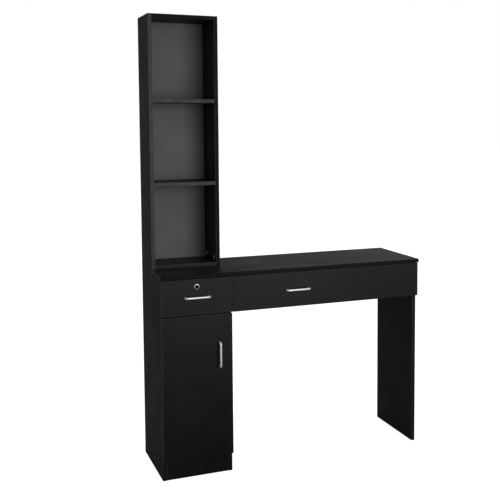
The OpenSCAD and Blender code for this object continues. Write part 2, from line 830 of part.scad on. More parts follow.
// Bridge handle, cast in one: a straight bar with a short leg at each end. Local x along it, local z off the face
module handle() {
    foot_x = handle_pitch / 2 + handle_foot / 2;
    bar_x = foot_x - handle_lean;
    soft = handle_t * 0.4;
    difference() {
        rotate([90, 0, 0]) linear_extrude(handle_w, center = true)
            polygon([[-foot_x, 0], [-bar_x - handle_lean * soft / handle_h, handle_h - soft], [-bar_x + soft, handle_h],
                     [bar_x - soft, handle_h], [bar_x + handle_lean * soft / handle_h, handle_h - soft], [foot_x, 0],
                     [foot_x - handle_foot, 0], [bar_x - handle_foot, handle_h - handle_t],
                     [handle_foot - bar_x, handle_h - handle_t], [handle_foot - foot_x, 0]]);
        for (side = [-1, 1]) translate([side * handle_pitch / 2, 0, -eps])
            cylinder(d = handle_screw_d + 2 * hole_play, h = handle_bite + eps + 0.5);
    }
}

module handle_holes(depth) {
    for (side = [-1, 1]) translate([side * handle_pitch / 2, 0, -depth - eps])
        cylinder(d = handle_screw_d + 4 * hole_play, h = depth + 2 * eps);
}

module handle_screws(depth) {
    for (side = [-1, 1]) translate([side * handle_pitch / 2, 0, -depth]) {
        cylinder(d = handle_screw_d, h = depth + handle_bite);
        translate([0, 0, -handle_screw_head_h]) cylinder(d = handle_screw_head_d, h = handle_screw_head_h);
    }
}

handle_z = front_z + front_h / 2;
centre_s = centre_front_s + centre_front_w / 2;

module door_handle() {
    color("#c8cacd") facing(tower_w - door_handle_inset, face_dep, door_handle_z) rotate(90) handle();
}

module left_drawer_handle() {
    color("#c8cacd") facing(lock_s, face_dep, handle_z) handle();
}

module centre_drawer_handle() {
    color("#c8cacd") facing(centre_s, face_dep, handle_z) handle();
}

// Screws that hold a drawer's front to its box, from inside the box
front_screw_l = box_board + 11;

module front_screw_places(middle, half) {
    for (side = [-1, 1], up = [-1, 1])
        facing(middle + side * half, front_back_dep - box_board, box_z + box_h / 2 + up * (box_h / 2 - 22)) children();
}

module front_screw_holes(middle, half) {
    front_screw_places(middle, half) translate([0, 0, -eps])
        cylinder(d = screw_d + 2 * hole_play, h = front_screw_l + eps + 0.5);
}

module drawer_screws(bay, middle) {
    half = bay[1] / 2 - slide_t - box_board - 15;
    box_middle = bay[0] + bay[1] / 2;
    front_screw_places(box_middle, half) {
        cylinder(d = screw_d, h = front_screw_l);
        translate([0, 0, -1.5]) cylinder(d = screw_head_d, h = 1.5);
    }
    facing(middle, face_dep, handle_z) handle_screws(board + box_board);
    for (place = inner_screws(bay)) drive(place) screw(box_board - 2);
}

// Drawer box boards in a bay: sides, inner front and back, thin bottom
module box_sides(bay) {
    difference() {
        for (s = [bay[0] + slide_t, bay[0] + bay[1] - slide_t - box_board])
            boxed(s, box_rear, box_z, box_board, box_d, box_h);
        bottom_groove(bay);
        screw_holes(inner_screws(bay), box_board - 2);
    }
}

module bottom_groove(bay) {
    boxed(bay[0] + slide_t + box_board - groove - groove_play, box_rear + box_board - groove - groove_play,
          box_z + bottom_lift, bay[1] - 2 * (slide_t + box_board - groove - groove_play),
          box_d - 2 * (box_board - groove - groove_play), thin_board + groove_play);
}

module box_ends(bay, middle) {
    difference() {
        for (dep = [box_rear, front_back_dep - box_board])
            boxed(bay[0] + slide_t + box_board, dep, box_z, bay[1] - 2 * (slide_t + box_board), box_board, box_h);
        bottom_groove(bay);
        front_screw_holes(bay[0] + bay[1] / 2, bay[1] / 2 - slide_t - box_board - 15);
        facing(middle, face_dep, handle_z) handle_holes(board + box_board);
    }
}

module box_bottom(bay) {
    boxed(bay[0] + slide_t + box_board - groove, box_rear + box_board - groove, box_z + bottom_lift,
          bay[1] - 2 * (slide_t + box_board - groove), box_d - 2 * (box_board - groove), thin_board);
}

module drawer_front(s, w, bay, middle) {
    difference() {
        boxed(s, front_back_dep, front_z, w, board, front_h);
        front_screw_holes(bay[0] + bay[1] / 2, bay[1] / 2 - slide_t - box_board - 15);
        facing(middle, face_dep, handle_z) handle_holes(board);
        children();
    }
}

module left_drawer_front() {
    color("#2b2a2e") drawer_front(0, side_front_w, left_bay, lock_s)
        facing(lock_s, face_dep, lock_z) translate([0, 0, -board - eps])
            cylinder(d = lock_barrel_d + 2 * hole_play, h = board + 2 * eps);
}

module left_drawer_sides() {
    color("#38373b") box_sides(left_bay);
}

module left_drawer_ends() {
    color("#38373b") box_ends(left_bay, lock_s);
}

module left_drawer_bottom() {
    color("#454448") box_bottom(left_bay);
}

module left_drawer_screws() {
    color("#c2c4c8") drawer_screws(left_bay, lock_s);
}

module centre_drawer_front() {
    color("#2b2a2e") drawer_front(centre_front_s, centre_front_w, centre_bay, centre_s);
}

module centre_drawer_sides() {
    color("#38373b") box_sides(centre_bay);
}

module centre_drawer_ends() {
    color("#38373b") box_ends(centre_bay, centre_s);
}

module centre_drawer_screws() {
    color("#c2c4c8") drawer_screws(centre_bay, centre_s);
}

module centre_drawer_bottom() {
    color("#454448") box_bottom(centre_bay);
}

// Ball slides: section in local x off the bay's wall, local y up, drawn on the left wall and mirrored to the right
module on_walls(bay, rear, length) {
    for (side = [0, 1])
        translate(at(bay[0] + side * bay[1], rear + length, slide_z)) mirror([side, 0, 0])
            rotate([-90, 0, 0]) mirror([0, 1, 0]) children();
}

module channel(x0, x1, half, sheet) {
    translate([x0, -half]) square([sheet, 2 * half]);
    for (y = [-half, half - sheet]) translate([min(x0, x1), y]) square([abs(x1 - x0), sheet]);
}

outer_half = slide_h / 2;
inner_half = outer_half - slide_sheet - ball_d - 2 * ball_play;
ball_y = outer_half - slide_sheet - ball_play - ball_d / 2;
ball_x = slide_t * 0.62;
// The inner member's lips end short of the next front, which covers part of the wall that the slide is on
lip_x = slide_t * 0.47;
cage_t = 0.8;
cage_x = slide_sheet + 0.7;
ball_count = 5;
ball_step = cage_l / ball_count;
cage_rear = slide_rear + (slide_l - cage_l) / 2;

module slide_outer(bay) {
    difference() {
        on_walls(bay, slide_rear, slide_l) linear_extrude(slide_l) channel(0, slide_t - 1, outer_half, slide_sheet);
        screw_holes(outer_screws(bay), short_screw_l);
    }
}

module slide_inner(bay) {
    difference() {
        on_walls(bay, slide_rear, slide_l) linear_extrude(slide_l) {
            translate([slide_t - slide_sheet, -inner_half]) square([slide_sheet, 2 * inner_half]);
            for (y = [-inner_half, inner_half - slide_sheet])
                translate([lip_x, y]) square([slide_t - lip_x, slide_sheet]);
        }
        screw_holes(inner_screws(bay), box_board - 2);
    }
}

module ball_cages(bay) {
    on_walls(bay, cage_rear, cage_l) {
        linear_extrude(cage_l) {
            translate([cage_x, -ball_y - cage_t / 2]) square([cage_t, 2 * ball_y + cage_t]);
            for (up = [-1, 1]) translate([cage_x, up * ball_y - cage_t / 2]) square([ball_x - cage_x + 1, cage_t]);
        }
        for (up = [-1, 1], ball = [0 : ball_count - 1])
            translate([ball_x, up * ball_y, (ball + 0.5) * ball_step]) sphere(d = ball_d);
    }
}

module left_slide_outers() {
    color("#9fa2a7") slide_outer(left_bay);
}

module centre_slide_outers() {
    color("#9fa2a7") slide_outer(centre_bay);
}

module left_slide_inners() {
    color("#b4b6ba") slide_inner(left_bay);
}

module centre_slide_inners() {
    color("#b4b6ba") slide_inner(centre_bay);
}

module left_ball_cages() {
    color("#c8b070") ball_cages(left_bay);
}

module centre_ball_cages() {
    color("#c8b070") ball_cages(centre_bay);
}

// Cam lock of the left drawer
module at_lock() {
    facing(lock_s, face_dep, lock_z) children();
}

ring_t = 2;
ring_bevel = 0.8;
tongue_end_d = 10;
hub_d = 16;
tongue_screw_d = 4;
tongue_head_d = 8;
nut_w = 24;
nut_t = 3;

module lock_housing() {
    color("#c8cacd")
    at_lock() difference() {
        union() {
            translate([0, 0, -lock_l]) cylinder(d = lock_barrel_d, h = lock_l);
            cylinder(d = lock_ring_d, h = ring_t - ring_bevel);
            translate([0, 0, ring_t - ring_bevel])
                cylinder(d1 = lock_ring_d, d2 = lock_ring_d - 2 * ring_bevel, h = ring_bevel);
        }
        translate([0, 0, -lock_l - eps]) cylinder(d = plug_d + 2 * plug_play, h = lock_l + ring_t + 2 * eps);
    }
}

module lock_nut() {
    color("#b4b6ba")
    at_lock() translate([0, 0, -board - nut_t]) difference() {
        cylinder(d = nut_w / cos(30), h = nut_t, $fn = 6);
        translate([0, 0, -eps]) cylinder(d = lock_barrel_d + 2 * hole_play, h = nut_t + 2 * eps);
    }
}

module lock_plug() {
    color("#8e9095")
    at_lock() difference() {
        translate([0, 0, -lock_l - 0.5]) cylinder(d = plug_d, h = lock_l + 0.5 + ring_t - 0.4);
        translate([-1, -4, ring_t - 6]) cube([2, 8, 6 + eps]);
        translate([0, 0, -lock_l - 0.5 - eps]) cylinder(d = tongue_screw_d + 2 * hole_play, h = 8 + eps);
    }
}

module lock_tongue() {
    color("#b4b6ba")
    at_lock() translate([0, 0, -lock_l - 0.5 - tongue_t]) {
        difference() {
            linear_extrude(tongue_t) {
                circle(d = hub_d);
                capsule([0, 0], [tongue_l - tongue_end_d / 2, 0], tongue_end_d);
            }
            translate([0, 0, -eps]) cylinder(d = tongue_screw_d + 2 * hole_play, h = tongue_t + 2 * eps);
        }
        translate([0, 0, -hole_play]) cylinder(d = tongue_screw_d, h = tongue_t + 7);
        translate([0, 0, -2 - hole_play]) cylinder(d = tongue_head_d, h = 2);
    }
}

module strike_plate() {
    color("#c8cacd")
    difference() {
        union() {
            boxed(lock_s - strike_w / 2, strike_dep, case_h - strike_t, strike_w, strike_l, strike_t);
            boxed(lock_s - strike_w / 2, strike_dep, case_h - strike_drop, strike_w, strike_t, strike_drop);
        }
        screw_holes(strike_screws, strike_screw_l);
    }
}

worktop();
lower_left_side();
lower_right_side();
cabinet_floor();
toe_kick();
drawer_rail();
cabinet_back();
cabinet_shelf();
shelf_pins();
leg_panel();
right_fascia();
bay_divider();
rear_rail();
corner_blocks();
bookcase_left_side();
bookcase_right_side();
bookcase_top();
bookcase_bottom();
upper_shelf();
lower_shelf();
bookcase_back();
wall_rail();
hanger_plates();
cam_locks();
cam_bolts();
dowels();
cam_covers();
end_cap();
board_screws();
front_bumpers();
hinge_plates();
hinge_arms();
left_slide_outers();
centre_slide_outers();
strike_plate();
cabinet_door();
door_handle();
hinge_cups();
hinge_pins();
door_screws();
left_drawer_front();
left_drawer_sides();
left_drawer_ends();
left_drawer_bottom();
left_drawer_handle();
left_slide_inners();
left_drawer_screws();
lock_housing();
lock_nut();
lock_plug();
lock_tongue();
left_ball_cages();
centre_drawer_front();
centre_drawer_sides();
centre_drawer_ends();
centre_drawer_bottom();
centre_drawer_handle();
centre_slide_inners();
centre_drawer_screws();
centre_ball_cages();
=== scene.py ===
# %% [markdown]
# The styling station is made of coated boards that are screwed, cammed and dowelled together. The packed
# model already holds every board, slide, hinge and screw at its true size, so this script keeps those places
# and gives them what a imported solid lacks: eased and banded edges, cast handles, a real lock face, and
# finishes.
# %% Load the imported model
import json
import math

import bmesh
import bpy
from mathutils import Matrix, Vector


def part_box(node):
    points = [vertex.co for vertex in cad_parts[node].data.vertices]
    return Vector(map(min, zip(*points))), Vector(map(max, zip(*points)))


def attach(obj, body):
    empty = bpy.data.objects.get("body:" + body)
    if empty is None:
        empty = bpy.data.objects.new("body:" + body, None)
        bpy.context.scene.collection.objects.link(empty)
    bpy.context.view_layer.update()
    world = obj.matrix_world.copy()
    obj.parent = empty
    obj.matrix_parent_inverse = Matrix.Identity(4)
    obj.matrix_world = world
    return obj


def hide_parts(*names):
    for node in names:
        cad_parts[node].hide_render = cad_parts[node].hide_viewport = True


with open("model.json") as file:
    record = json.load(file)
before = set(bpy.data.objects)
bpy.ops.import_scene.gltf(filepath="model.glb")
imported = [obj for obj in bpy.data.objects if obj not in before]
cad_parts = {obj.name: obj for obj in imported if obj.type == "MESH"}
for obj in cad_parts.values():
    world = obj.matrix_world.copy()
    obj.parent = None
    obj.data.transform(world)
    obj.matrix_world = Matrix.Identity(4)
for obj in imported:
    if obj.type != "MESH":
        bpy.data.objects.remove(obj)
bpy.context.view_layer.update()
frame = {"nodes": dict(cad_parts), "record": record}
record = frame["record"]
slot_of = {row["node"]: row["material_slot"] for row in record["subparts"]}
body_of = {node: body for body, nodes in record["behaviour"]["bodies"].items() for node in nodes}

# %% [markdown]
# The camera comes first, because every later choice is judged through it. Its place, turn and lens come from
# the vanishing lines of the boards. The picture is a cut-out whose optical centre is not in its middle, so
# the lens is shifted by just that much, and the upright boards then stay as upright as they are in the
# picture.
# %% Camera
CAMERA_PLACE = (-1.3125, -3.5701, 1.4470)
CAMERA_TURN = 0.4142
CAMERA_DIP = 0.0817
LENS_MM = 63.10
SENSOR_MM = 36.0
SHIFT = (-0.1737, -0.1142)

lens = bpy.data.cameras.new("front_left_view")
lens.sensor_width = SENSOR_MM
lens.lens = LENS_MM
lens.shift_x, lens.shift_y = SHIFT
lens.dof.use_dof = False
camera = bpy.data.objects.new("front_left_view", lens)
camera.location = CAMERA_PLACE
camera.rotation_euler = (math.pi / 2 - CAMERA_DIP, 0, -CAMERA_TURN)
bpy.context.scene.collection.objects.link(camera)
bpy.context.scene.camera = camera
print("camera at", tuple(round(v, 3) for v in camera.location), "lens", LENS_MM, "mm")

# %% [markdown]
# A few helpers are used by all the pieces. An operator works on whatever is selected, and loading leaves the
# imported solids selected, so each step starts by letting go of everything and picking one piece only. Faces
# and edges are chosen by a rule about their place, as one would click them by hand.


# %% Picking, settling, copying and choosing
def pick(piece):
    bpy.ops.object.select_all(action="DESELECT")
    piece.select_set(True)
    bpy.context.view_layer.objects.active = piece


def settle(piece):
    pick(piece)
    bpy.ops.object.transform_apply(location=True, rotation=True, scale=True)
    return piece


def copy_of(source, name):
    piece = source.copy()
    piece.data = source.data.copy()
    piece.name = piece.data.name = name
    piece.parent = None
    for key in list(piece.keys()):
        del piece[key]
    if not piece.users_collection:
        bpy.context.scene.collection.objects.link(piece)
    return piece


def count(piece):
    return f"{piece.name}: {len(piece.data.vertices)} points, {len(piece.data.polygons)} faces"


def middle(part):
    return sum((v.co for v in part.verts), Vector()) / len(part.verts)


def choose(kind, wanted):
    bpy.ops.mesh.select_mode(type=kind)
    bpy.ops.mesh.select_all(action="DESELECT")
    mesh = bmesh.from_edit_mesh(bpy.context.edit_object.data)
    for part in {"VERT": mesh.verts, "EDGE": mesh.edges, "FACE": mesh.faces}[kind]:
        part.select_set(wanted(part))
    bmesh.update_edit_mesh(bpy.context.edit_object.data)


# %% [markdown]
# A finish is a small network on the Principled shader. These helpers keep each one short: a noise that reads
# Object coordinates, so that it stays on the piece when a drawer slides, a ramp that turns the noise into a
# colour or a roughness, and a bump from the same noise.


# %% Small tools for finishes
class Finish:
    def __init__(self, name, **sockets):
        self.material = bpy.data.materials.new(name)
        self.material.use_nodes = True
        self.tree = self.material.node_tree
        self.shader = next(n for n in self.tree.nodes if n.type == "BSDF_PRINCIPLED")
        for socket, value in sockets.items():
            self.shader.inputs[socket.replace("_", " ")].default_value = value
        self.place = self.tree.nodes.new("ShaderNodeTexCoord").outputs["Object"]

    def noise(self, scale, detail=3.0, stretch=None):
        node = self.tree.nodes.new("ShaderNodeTexNoise")
        node.inputs["Scale"].default_value = scale
        node.inputs["Detail"].default_value = detail
        place = self.place
        if stretch:
            mapping = self.tree.nodes.new("ShaderNodeMapping")
            mapping.inputs["Scale"].default_value = stretch
            self.tree.links.new(self.place, mapping.inputs["Vector"])
            place = mapping.outputs["Vector"]
        self.tree.links.new(place, node.inputs["Vector"])
        return node.outputs["Fac"]

    def ramp(self, source, low, high, start=0.35, end=0.65):
        node = self.tree.nodes.new("ShaderNodeValToRGB")
        node.color_ramp.elements[0].position = start
        node.color_ramp.elements[1].position = end
        node.color_ramp.elements[0].color = (*low, 1)
        node.color_ramp.elements[1].color = (*high, 1)
        self.tree.links.new(source, node.inputs["Fac"])
        return node.outputs["Color"]

    def span(self, source, low, high, start=0.3, end=0.7):
        node = self.tree.nodes.new("ShaderNodeMapRange")
        node.inputs["From Min"].default_value = start
        node.inputs["From Max"].default_value = end
        node.inputs["To Min"].default_value = low
        node.inputs["To Max"].default_value = high
        self.tree.links.new(source, node.inputs["Value"])
        return node.outputs["Result"]

    def feed(self, source, socket):
        self.tree.links.new(source, self.shader.inputs[socket])

    def bump(self, source, strength, distance):
        node = self.tree.nodes.new("ShaderNodeBump")
        node.inputs["Strength"].default_value = strength
        node.inputs["Distance"].default_value = distance
        self.tree.links.new(source, node.inputs["Height"])
        self.tree.links.new(node.outputs["Normal"], self.shader.inputs["Normal"])


# %% [markdown]
# The boards are chipboard under a smooth near-black melamine film. A film like that is never one flat colour:
# it has a slight cloudiness, its gloss varies where hands and cloths have passed, and light shows a faint
# ripple from the chips below. The edges are closed with separate strips of two kinds: a slightly paler one
# that shows as a thin line around the fronts and the shelves, and a dull one, darker than the paler one, on the
# worktop and on the top and right of the bookcase. On the bookcase's right side the dull strip is painted
# shade. The eased arrises get a much lighter colour, which is a painted highlight.
# %% Board finishes
def coated_board():
    finish = Finish("coated_board", Roughness=0.4, Specular_IOR_Level=0.1)
    cloud = finish.noise(9.0, 4.0)
    finish.feed(finish.ramp(cloud, (0.0044, 0.0042, 0.0047), (0.0056, 0.0054, 0.0061)), "Base Color")
    finish.feed(finish.span(finish.noise(3.5, 5.0), 0.34, 0.46), "Roughness")
    finish.bump(finish.noise(260.0, 2.0), 0.04, 0.0004)
    return finish.material


def edge_band():
    finish = Finish("edge_band", Roughness=0.5, Specular_IOR_Level=0.2)
    cloud = finish.noise(60.0)
    finish.feed(finish.ramp(cloud, (0.012, 0.0115, 0.013), (0.016, 0.0155, 0.0175)), "Base Color")
    finish.feed(finish.span(finish.noise(25.0), 0.45, 0.6), "Roughness")
    finish.bump(finish.noise(700.0, 2.0), 0.06, 0.0002)
    return finish.material


# A duller strip, darker than the paler one; on the bookcase's right side it is painted shade.
def dull_band_and_shade():
    finish = Finish("dull_band_and_shade", Roughness=0.6, Specular_IOR_Level=0.03)
    cloud = finish.noise(60.0)
    finish.feed(finish.ramp(cloud, (0.0066, 0.0063, 0.0070), (0.0084, 0.0081, 0.0089)), "Base Color")
    finish.feed(finish.span(finish.noise(25.0), 0.55, 0.7), "Roughness")
    finish.bump(finish.noise(700.0, 2.0), 0.06, 0.0002)
    return finish.material


# A much lighter colour for the eased arrises, which is a painted highlight.
def painted_arris_highlight():
    finish = Finish("painted_arris_highlight", Roughness=0.4, Specular_IOR_Level=0.16)
    cloud = finish.noise(90.0)
    finish.feed(finish.ramp(cloud, (0.030, 0.029, 0.031), (0.042, 0.040, 0.043)), "Base Color")
    finish.feed(finish.span(finish.noise(40.0), 0.3, 0.42), "Roughness")
    return finish.material


def chipboard_core():
    finish = Finish("chipboard_core", Roughness=0.9, Specular_IOR_Level=0.2)
    chips = finish.noise(420.0, 4.0)
    finish.feed(finish.ramp(chips, (0.19, 0.12, 0.065), (0.42, 0.30, 0.18)), "Base Color")
    finish.bump(finish.noise(800.0), 0.5, 0.0005)
    return finish.material


# %% [markdown]
# Three plainer boards come next. The bookcase's back is a thin dark grey fibreboard with a matt, slightly
# fibrous face, and it catches more light than the black film. The drawer boxes are of a black board with a
# coarser film. The dowels are bare wood, and their grain is drawn out along the dowel, which lies along x.
# %% Back, drawer and dowel finishes
def back_board():
    finish = Finish("back_board", Roughness=0.6, Specular_IOR_Level=0.03)
    cloud = finish.noise(5.0, 4.0)
    finish.feed(finish.ramp(cloud, (0.095, 0.090, 0.098), (0.113, 0.107, 0.117)), "Base Color")
    finish.feed(finish.span(finish.noise(40.0), 0.55, 0.66), "Roughness")
    finish.bump(finish.noise(900.0, 2.0, (1, 1, 0.2)), 0.06, 0.0002)
    return finish.material


def drawer_board():
    finish = Finish("drawer_board", Roughness=0.55, Specular_IOR_Level=0.2)
    cloud = finish.noise(14.0, 4.0)
    finish.feed(finish.ramp(cloud, (0.024, 0.023, 0.026), (0.032, 0.030, 0.034)), "Base Color")
    finish.feed(finish.span(finish.noise(30.0), 0.5, 0.65), "Roughness")
    finish.bump(finish.noise(500.0, 2.0), 0.08, 0.0003)
    return finish.material


def dowel_wood():
    along = (0.2, 1, 1)
    finish = Finish("dowel_wood", Roughness=0.7, Specular_IOR_Level=0.3)
    grain = finish.noise(60.0, 5.0, along)
    finish.feed(finish.ramp(grain, (0.50, 0.34, 0.20), (0.68, 0.50, 0.32)), "Base Color")
    finish.bump(finish.noise(160.0, 4.0, along), 0.25, 0.0004)
    return finish.material


# %% [markdown]
# The metals differ in how they are made: cast handles with a satin coat, nickel-plated hinge parts,
# zinc-plated slides and screws, rough die-cast cams. All are one shader with another colour, roughness and
# grain. The coat of the handles scatters part of the light, so that they stay light on the sides that face
# nothing bright. The plastic and rubber pieces share a second one, with a fine moulded skin.
# %% Metal, plastic and rubber finishes
def plated(name, dark, light, rough, grain, depth=0.00005, metal=1.0):
    finish = Finish(name, Metallic=metal)
    finish.feed(finish.ramp(finish.noise(30.0, 4.0), dark, light), "Base Color")
    finish.feed(finish.span(finish.noise(grain), rough - 0.06, rough + 0.06), "Roughness")
    finish.bump(finish.noise(grain), 0.15, depth)
    return finish.material


def moulded(name, dark, light, rough):
    finish = Finish(name, Roughness=rough)
    finish.feed(finish.ramp(finish.noise(80.0), dark, light), "Base Color")
    finish.feed(finish.span(finish.noise(200.0, 2.0), rough - 0.05, rough + 0.05), "Roughness")
    finish.bump(finish.noise(1500.0, 2.0), 0.1, 0.0001)
    return finish.material


finishes = {
    "coated_board": coated_board(),
    "back_board": back_board(),
    "drawer_board": drawer_board(),
    "dowel_wood": dowel_wood(),
    "satin_nickel": plated("satin_nickel", (0.46, 0.46, 0.46), (0.56, 0.56, 0.56), 0.4, 900.0, metal=0.55),
    "nickel_steel": plated("nickel_steel", (0.52, 0.52, 0.53), (0.62, 0.62, 0.63), 0.28, 600.0),
    "zinc_steel": plated("zinc_steel", (0.42, 0.43, 0.46), (0.56, 0.57, 0.60), 0.36, 500.0),
    "yellow_steel": plated("yellow_steel", (0.52, 0.42, 0.20), (0.66, 0.56, 0.32), 0.35, 500.0),
    "zinc_alloy": plated("zinc_alloy", (0.36, 0.37, 0.39), (0.48, 0.49, 0.51), 0.5, 700.0, depth=0.0001),
    "brass_look": plated("brass_look", (0.52, 0.47, 0.33), (0.64, 0.58, 0.42), 0.3, 500.0),
    "grey_plastic": moulded("grey_plastic", (0.34, 0.34, 0.33), (0.42, 0.42, 0.41), 0.5),
    "pale_plastic": moulded("pale_plastic", (0.76, 0.75, 0.72), (0.84, 0.83, 0.80), 0.4),
    "black_plastic": moulded("black_plastic", (0.018, 0.018, 0.020), (0.025, 0.025, 0.027), 0.5),
    "clear_rubber": moulded("clear_rubber", (0.62, 0.62, 0.60), (0.74, 0.74, 0.72), 0.3),
}
band_finish = edge_band()
dull_and_shade_finish = dull_band_and_shade()
arris_highlight_finish = painted_arris_highlight()
core_finish = chipboard_core()
for node, piece in frame["nodes"].items():
    piece.material_slots[0].material = finishes[slot_of[node]]
print("finishes of packed nodes:", len(finishes))

# %% [markdown]
# A imported node is loose triangles, and its own mesh must stay as it is. So a piece that needs another shape
# starts as a copy whose triangles are merged along their seams. It then stands for its node: the node is
# hidden, and the piece takes over the node's finish and the body that it moves with.
# %% Copies that stand for imported nodes
TOUCH = 1e-5
ONE_PLANE = math.radians(1)


def merged_copy(node, name):
    piece = copy_of(frame["nodes"][node], name)
    pick(piece)
    bpy.ops.object.mode_set(mode="EDIT")
    bpy.ops.mesh.select_all(action="SELECT")
    bpy.ops.mesh.remove_doubles(threshold=TOUCH)
    return piece


def stands_for(piece, node, *more_finishes):
    piece.data.materials.clear()
    for finish in (finishes[slot_of[node]], *more_finishes):
        piece.data.materials.append(finish)
    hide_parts(node)
    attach(piece, body_of[node])


def near_sides(point, low, high, reach):
    return [min(abs(point[i] - low[i]), abs(point[i] - high[i])) < reach for i in range(3)]


# %% [markdown]
# A board comes out of the imported model with knife-sharp arrises. On the real one every arris is eased, and
# that thin bright line is what tells the eye where one black board ends and the next begins. The copy's flat
# faces are dissolved into one face each, the outer arrises are bevelled, and the narrow sides get their strip
# while the walls of holes and grooves show bare chipboard. The bevels get a much lighter colour, a painted
# highlight that stands for that bright line. The boards that are named in neither list keep the film of their
# faces on their edges, and so do arrises that look down, which get no painted highlight.
# %% Boards with eased and banded edges
BOARDS = (
    "lower_left_side", "lower_right_side", "leg_panel", "bay_divider", "rear_rail", "toe_kick",
    "cabinet_floor", "drawer_rail", "cabinet_shelf", "right_fascia",
    "bookcase_left_side", "bookcase_right_side", "bookcase_top", "bookcase_bottom",
    "upper_shelf", "lower_shelf",
    "cabinet_door", "left_drawer_front", "centre_drawer_front",
)
PALE_EDGES = (
    "bookcase_left_side", "upper_shelf", "lower_shelf",
    "cabinet_door", "left_drawer_front", "centre_drawer_front", "right_fascia",
)
# The bookcase's right side gets the darker strip as painted shade; its top gets it too.
DULL_AND_SHADED_EDGES = ("bookcase_right_side", "bookcase_top")
FILM, BAND, CORE, ARRIS_HIGHLIGHT, DULL_AND_SHADE = range(5)
ARRIS = 0.001
BEVEL_STEPS = 2
SHORTEST_ARRIS = 4 * ARRIS
ARRIS_ANGLE = math.radians(20)
SQUARE_ON = 0.999
LOOKS_DOWN = -0.3


def banded_board(node):
    low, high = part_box(node)
    thin = min(range(3), key=lambda i: high[i] - low[i])
    strip = BAND if node in PALE_EDGES else DULL_AND_SHADE if node in DULL_AND_SHADED_EDGES else FILM

    def is_outer_arris(edge):
        a, b = (v.co for v in edge.verts)
        return sum(near_sides(middle(edge), low, high, TOUCH)) == 2 and (a - b).length > SHORTEST_ARRIS

    piece = merged_copy(node, "banded_" + node)
    bpy.ops.mesh.dissolve_limited(angle_limit=ONE_PLANE)
    choose("EDGE", is_outer_arris)
    bpy.ops.mesh.bevel(offset=ARRIS, segments=BEVEL_STEPS, affect="EDGES")
    bpy.ops.object.mode_set(mode="OBJECT")
    stands_for(piece, node, band_finish, core_finish, arris_highlight_finish, dull_and_shade_finish)
    for face in piece.data.polygons:
        way = max(range(3), key=lambda i: abs(face.normal[i]))
        square = abs(face.normal[way]) > SQUARE_ON
        if square and near_sides(face.center, low, high, TOUCH)[way]:
            face.material_index = FILM if way == thin else strip
        # Bevels that face up or sideways get the painted highlight; those that look down keep the film.
        elif sum(near_sides(face.center, low, high, ARRIS)) >= 2:
            face.material_index = FILM if face.normal.z < LOOKS_DOWN else ARRIS_HIGHLIGHT
        else:
            face.material_index = CORE
    pick(piece)
    bpy.ops.object.shade_smooth_by_angle(angle=ARRIS_ANGLE)
    return piece


for node in BOARDS:
    print(count(banded_board(node)))

# %% [markdown]
# The worktop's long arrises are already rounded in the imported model, because they are wide enough to show. A
# merged copy gets the dull strip along its front and back and bare chipboard in its holes, while its two ends
# keep the film, because they lie flush with the sides below. The seams of its two large faces are marked
# sharp after the smoothing: a flat face that shared its shading with a rounding would show false streaks of
# light.
# %% Worktop with a dull front and back edge
EDGE_REACH = 0.003
ROUNDING_ANGLE = math.radians(30)
TOP_FILM, TOP_DULL, TOP_CORE = range(3)

worktop = merged_copy("worktop", "banded_worktop")
bpy.ops.object.mode_set(mode="OBJECT")
stands_for(worktop, "worktop", dull_and_shade_finish, core_finish)
low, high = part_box("worktop")
for face in worktop.data.polygons:
    at_end, _, on_top_or_below = near_sides(face.center, low, high, TOUCH)
    at_front_or_back = near_sides(face.center, low, high, EDGE_REACH)[1]
    if at_end or on_top_or_below:
        face.material_index = TOP_FILM
    else:
        face.material_index = TOP_DULL if at_front_or_back else TOP_CORE
bpy.ops.object.shade_smooth_by_angle(angle=ROUNDING_ANGLE)
bpy.ops.object.mode_set(mode="EDIT")
choose("EDGE", lambda e: any(abs(f.normal.z) > SQUARE_ON for f in e.link_faces))
bpy.ops.mesh.mark_sharp()
bpy.ops.object.mode_set(mode="OBJECT")
print(count(worktop))

# %% [markdown]
# Each handle is one zinc casting with a satin plating: a straight bar, and a short leg at each end that takes
# a screw from behind. A swept curve would give a round wire, which this is not, so the bar starts as a box.
# Two cuts mark where the legs begin, and the end faces on the back are pulled out to the board, each by
# itself, because pulling both at once would number the new faces differently on each run. The lines that this
# leaves on flat faces are dissolved, because a bevel goes wrong where it meets an edge shorter than itself.
# The two outer corners then get a bend nearly as deep as a leg is wide, so that the bar keeps its thickness
# round the corner, and last all edges are eased.
# %% Bridge handle, modelled once
SCREW_PITCH = 0.096
LEG = 0.013
RISE = 0.024
BAR = 0.009
BAR_WIDTH = 0.008
BEND = 0.012
BEND_STEPS = 10
EASE = 0.003
EASE_STEPS = 5
EASE_ANGLE = math.radians(35)
half_length = SCREW_PITCH / 2 + LEG / 2


def is_back_of_leg(face):
    return face.normal.y > SQUARE_ON and abs(middle(face).x) > half_length - LEG


def is_outer_corner(edge):
    spot = middle(edge)
    return abs(spot.z) < TOUCH and spot.y < TOUCH - RISE and abs(spot.x) > half_length - TOUCH


